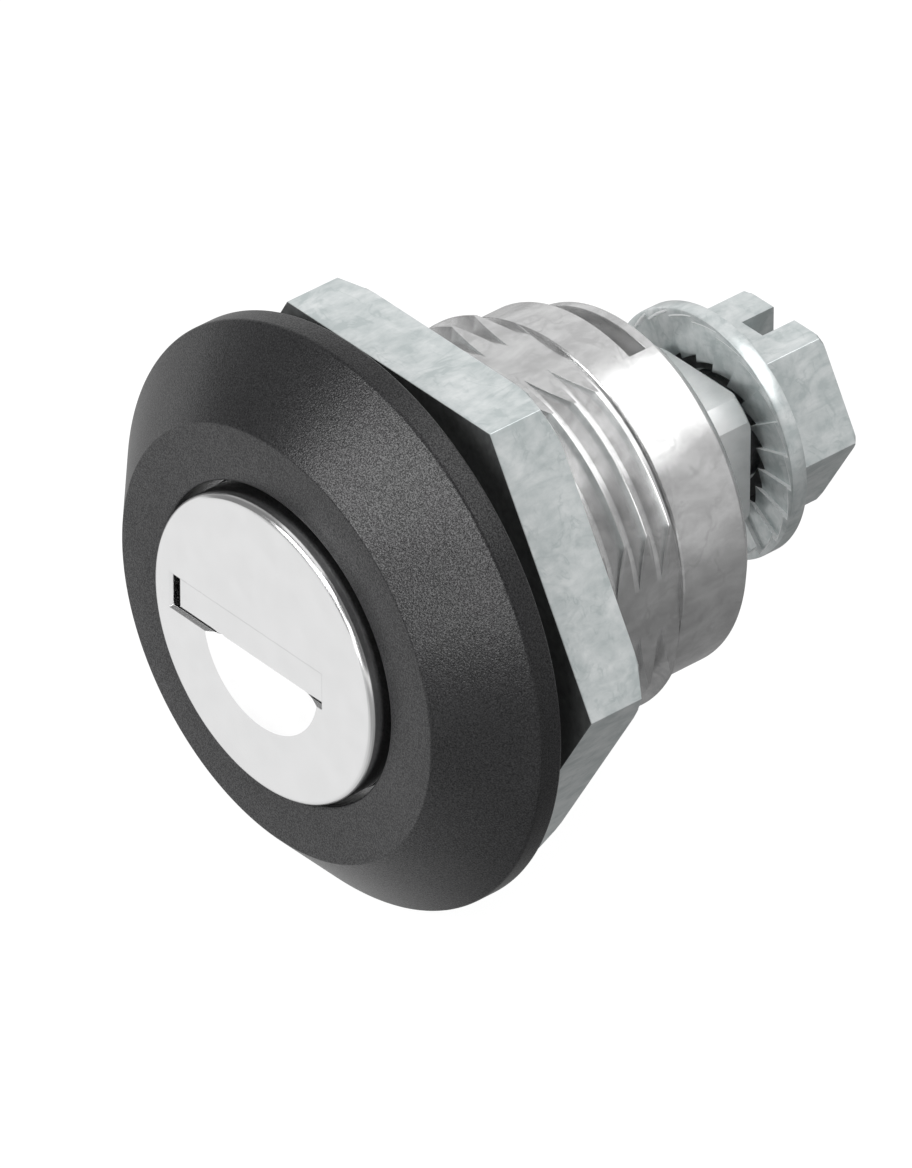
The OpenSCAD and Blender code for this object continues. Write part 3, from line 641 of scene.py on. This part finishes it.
def make_spindle():
    """Neck with clip groove and tang slot, hub with seal groove and lug, disc, bored square."""
    neck_front, hub_front = 11.25, WEB_BACK + GAP
    clip_r, clip_front, clip_back = 5.6, 11.93, 12.57
    seal_r, seal_front, seal_back = 7.23, 14.25, 15.25
    body = lathe("spindle_body", rounded([
        (0, neck_front, 0), (NECK_R, neck_front, 0.15), (NECK_R, clip_front, 0),
        (clip_r, clip_front, 0), (clip_r, clip_back, 0), (NECK_R, clip_back, 0),
        (NECK_R, hub_front, 0), (HUB_R, hub_front, 0.1), (HUB_R, seal_front, 0),
        (seal_r, seal_front, 0), (seal_r, seal_back, 0), (HUB_R, seal_back, 0),
        (HUB_R, DISC_FRONT, 0), (DISC_R, DISC_FRONT, 0.04), (DISC_R, CAM_SEAT, 0.1),
        (0, CAM_SEAT, 0)], 3))
    lug_root_r, lug_r = 7.5, 10.2
    combine(body, prism("lug", sector_outline(lug_root_r, lug_r, LUG_A0, LUG_A1, 24),
                        WINDOW_FRONT + 0.1, DISC_FRONT + 0.2), "UNION")
    corner_r, half, foot = 5, 4, CAM_SEAT - 0.5
    square = lathe("square", rounded([(0, foot, 0), (corner_r, foot, 0),
                                      (corner_r, SQUARE_END, 0.3), (0, SQUARE_END, 0)], 4))
    combine(square, block("sides", -half, half, CAM_SEAT - 1, SQUARE_END + 1, -half, half),
            "INTERSECT")
    combine(body, square, "UNION")
    hole_r, hole_end, mouth_r = SCREW_R + SEAT, 15.37, 3.5
    combine(body, lathe("hole", [
        (0, hole_end), (hole_r, hole_end), (hole_r, SQUARE_END - 0.4),
        (mouth_r, SQUARE_END + 0.08), (mouth_r, SQUARE_END + PAST), (0, SQUARE_END + PAST)],
        96), "DIFFERENCE")
    tang_half, tang_front, tang_back, outside = 1.55, 9.5, 13.05, 12
    combine(body, block("tang", -outside, outside, tang_front, tang_back, -tang_half, tang_half),
            "DIFFERENCE")
    finish(body, "rotor", die_cast, "die_cast", "spindle")
    # The square's faces get the paler die-cast copy: painted light where the washer and disc shade
    # them.
    paint(body, square_painted_light, lambda centre, normal: centre.y > CAM_SEAT + 0.01)
    return body


def make_washer():
    """Washer whose front has ribs, each a slope with a step at its end, inside a flat lip."""
    ribs, per_rib = 22, 10
    hole_r = 3.2
    points, rings = [], []

    def ring(station):
        """One round of points; the station gives (radius, depth) at each share of a rib."""
        start = len(points)
        for k in range(ribs):
            for i in range(per_rib):
                share = i / (per_rib - 1)
                a = 2 * math.pi * (k + 0.004 + 0.99 * share) / ribs
                r, y = station(share)
                points.append((r * math.cos(a), WASHER_FRONT + y, r * math.sin(a)))
        rings.append(list(range(start, len(points))))

    def rib(share):
        """Depth of a rib's slope."""
        return 0.3 - 0.2 * share

    def lip(share):
        """Radius at which the rib meets the lip."""
        return 6.72 - 0.32 * share

    def heel(share):
        """Radius at which the rib meets the recess."""
        return 4.45 - 0.35 * share

    ring(lambda share: (hole_r, 1.1))
    ring(lambda share: (heel(share) - 0.02, 1.05))
    ring(lambda share: (heel(share), rib(share) + 0.06))
    ring(lambda share: (heel(share) + 0.06, rib(share)))
    for part in (0.25, 0.5, 0.75):
        ring(lambda share: (heel(share) + (lip(share) - heel(share)) * part, rib(share)))
    ring(lambda share: (lip(share) - 0.02, rib(share)))
    for r, y in ((0.05, 0.05), (0.15, 0.0)):
        ring(lambda share: (lip(share) + r, y))
    for r, y in ((6.93, 0.0), (6.98, 0.02), (WASHER_R, 0.08), (WASHER_R, 0.9), (6.97, 0.97),
                 (6.9, 1.0), (6.0, 1.35), (5.0, 1.57), (hole_r + 0.1, 1.57), (hole_r, 1.47)):
        ring(lambda share: (r, y))
    washer = add_object("ribbed_washer_disc", points, bridge(rings))
    finish(washer, "rotor", zinc, "zinc_plate", "ribbed_washer", sharp=25)

    def in_recess(centre, normal):
        y = centre.y - WASHER_FRONT
        return (y < 1.3 and math.hypot(centre.x, centre.z) < 4.5
                and (y > 0.4 or abs(normal.y) < 0.3))

    def on_step_or_lip(centre, normal):
        r, y = math.hypot(centre.x, centre.z), centre.y - WASHER_FRONT
        step = y < 0.5 and r < 6.8 and abs(normal.y) < 0.5
        return not in_recess(centre, normal) and (step or (0.004 < y < 0.045 and r < 6.9))

    # The recess round the square's end gets the dark zinc: painted shade.
    paint(washer, zinc_painted_shade, in_recess)
    # Rib steps and the lip's edge get the pale zinc: painted highlight lines.
    paint(washer, zinc_painted_highlight, on_step_or_lip)
    return washer


def make_screw():
    head = hex_body("cam_screw_m6", 10, HEAD_FRONT, HEAD_BACK, chamfer_r=5.5, hole_r=0,
                    corner_round=0.05, edge=0.05)
    tip, point_r, point_back, root = 15.97, 2.3, 16.65, HEAD_FRONT + 1
    combine(head, lathe("shank", rounded([
        (0, tip, 0), (point_r, tip, 0.1), (SCREW_R, point_back, 0.1), (SCREW_R, root, 0),
        (0, root, 0)], 3), 96), "UNION")
    slot_half, slot_depth = 0.803, 2.2
    combine(head, block("driver", -slot_half, slot_half, HEAD_BACK - slot_depth, HEAD_BACK + 1,
                        -9, 9), "DIFFERENCE")
    return finish(head, "rotor", zinc, "zinc_plate", "cam_screw", sharp=14)


def dress_cad_nodes():
    """Better materials for the CAD nodes that stay as they are."""
    looks = {"retaining_pin": ground_steel, "shutter_pin": ground_steel, "lock_plug": die_cast,
             "plug_seal": black_rubber, "spindle_seal": black_rubber,
             "spindle_clip": spring_wire, "shutter_spring": spring_wire,
             "dust_shutter": bright}
    for i in range(1, 6):
        looks["wafer_%d" % i] = brass
        looks["wafer_spring_%d" % i] = spring_wire
    for name, look in looks.items():
        for slot in nodes[name].material_slots:
            slot.material = look


make_bezel()
make_gasket()
make_housing()
make_nut()
make_face()
make_spindle()
make_washer()
make_screw()
dress_cad_nodes()


# ---- floor, light and camera ----

def white_floor(name):
    """Pale floor, white to the camera but for a soft shadow.

    The light that it gives the lock is graded by place: dimmer under the lock's right side,
    brighter farther to the right, and rising from behind the lock's face to its front.
    """
    n = new_material(name)
    n.set(Base_Color=(0.9, 0.9, 0.9, 1), Roughness=0.9)

    def graded(direction, low, high, at_low, at_high):
        """Light from one value to another along a direction, low and high in metres."""
        along = n.add("ShaderNodeVectorMath", operation="DOT_PRODUCT")
        along.inputs[1].default_value = direction
        n.link(n.places["Object"], along.inputs[0])
        return n.spread(along.outputs["Value"], low, high, at_low, at_high, "SMOOTHSTEP")

    right = n.math("MULTIPLY", graded((1, 0.4, 0), -0.004, 0.02, 1.0, 0.42),
                   graded((1, 0.4, 0), 0.035, 0.13, 1.0, 2.4))
    given = n.glow(n.math("MULTIPLY", right, graded((0, -1, 0), -0.002, 0.013, 0.55, 1.05)))
    seen = n.mix(0.88, n.shader.outputs["BSDF"], n.glow(1.08))
    to_camera = n.add("ShaderNodeLightPath").outputs["Is Camera Ray"]
    n.link(n.mix(to_camera, given, seen), n.tree.nodes["Material Output"].inputs["Surface"])
    return n.owner


def make_floor():
    floor_z, half = -16.6, 3000
    floor = add_object("floor", [(-half, -half, floor_z), (half, -half, floor_z),
                                 (half, half, floor_z), (-half, half, floor_z)], [[0, 1, 2, 3]])
    floor.data.transform(Matrix.Scale(MM, 4))
    floor.data.materials.append(white_floor("floor_white"))


def make_world():
    """White to the camera; for light and reflections darker in front and to the right."""
    world = bpy.data.worlds.new("studio")
    bpy.context.scene.world = world
    n = Nodes(world)
    split = n.add("ShaderNodeSeparateXYZ")
    n.link(n.places["Generated"], split.inputs["Vector"])
    light = n.math("MULTIPLY",
                   n.spread(split.outputs["Y"], -0.3, 0.5, 0.28, 0.95, "SMOOTHSTEP"),
                   n.spread(split.outputs["X"], -0.9, 0.9, 0.93, 0.66, "SMOOTHSTEP"))
    pick = n.add("ShaderNodeMix")
    n.link(n.add("ShaderNodeLightPath").outputs["Is Camera Ray"], pick.inputs[0])
    n.link(light, pick.inputs[2])
    pick.inputs[3].default_value = 1.0
    background = n.tree.nodes["Background"]
    background.inputs["Color"].default_value = (1, 1, 1, 1)
    n.link(pick.outputs[0], background.inputs["Strength"])


def add_softbox(name, azimuth, elevation, distance, size, radiance):
    """An area light in the given direction, azimuth from -Y towards +X, turned to the lock."""
    light = bpy.data.lights.new(name, "AREA")
    light.shape = "RECTANGLE"
    light.size, light.size_y = size
    light.energy = radiance * math.pi * size[0] * size[1]
    obj = bpy.data.objects.new(name, light)
    az, el = math.radians(azimuth), math.radians(elevation)
    direction = Vector((math.sin(az) * math.cos(el), -math.cos(az) * math.cos(el), math.sin(el)))
    obj.location = direction * distance
    obj.rotation_mode = "QUATERNION"
    obj.rotation_quaternion = direction.to_track_quat("Z", "Y")
    obj.visible_camera = False
    bpy.context.scene.collection.objects.link(obj)


def make_camera():
    """Long lens from the front, right and above, aimed beside the lock to place it in view."""
    azimuth, elevation = math.radians(49.23), math.radians(35.0)
    distance, lens = 0.804, 493.5
    aim_right, aim_up = 9.86, 3.42
    right = Vector((math.cos(azimuth), math.sin(azimuth), 0))
    up = Vector((-math.sin(azimuth) * math.sin(elevation),
                 math.cos(azimuth) * math.sin(elevation), math.cos(elevation)))
    back = right.cross(up)
    camera = bpy.data.cameras.new("camera")
    camera.lens = lens
    camera.clip_start, camera.clip_end = 0.01, 20
    obj = bpy.data.objects.new("camera", camera)
    aim = Vector((0, FACE - 0.05, 0)) + right * aim_right + up * aim_up
    obj.location = aim * MM + back * distance
    obj.rotation_mode = "QUATERNION"
    obj.rotation_quaternion = Matrix((right, up, back)).transposed().to_quaternion()
    bpy.context.scene.collection.objects.link(obj)
    bpy.context.scene.camera = obj


make_floor()
make_world()
# Name, azimuth, elevation, distance and size in metres, radiance
for softbox in (("overhead", 150, 52, 0.5, (0.44, 0.3), 1.75),
                ("front", 0, 34, 0.6, (0.56, 0.26), 7.0),
                ("front_right", 33, 2, 0.6, (0.22, 0.46), 5.8),
                ("top", 0, 82, 0.5, (0.4, 0.4), 0.8)):
    add_softbox(*softbox)
make_camera()
bpy.context.scene.view_settings.view_transform = "Standard"
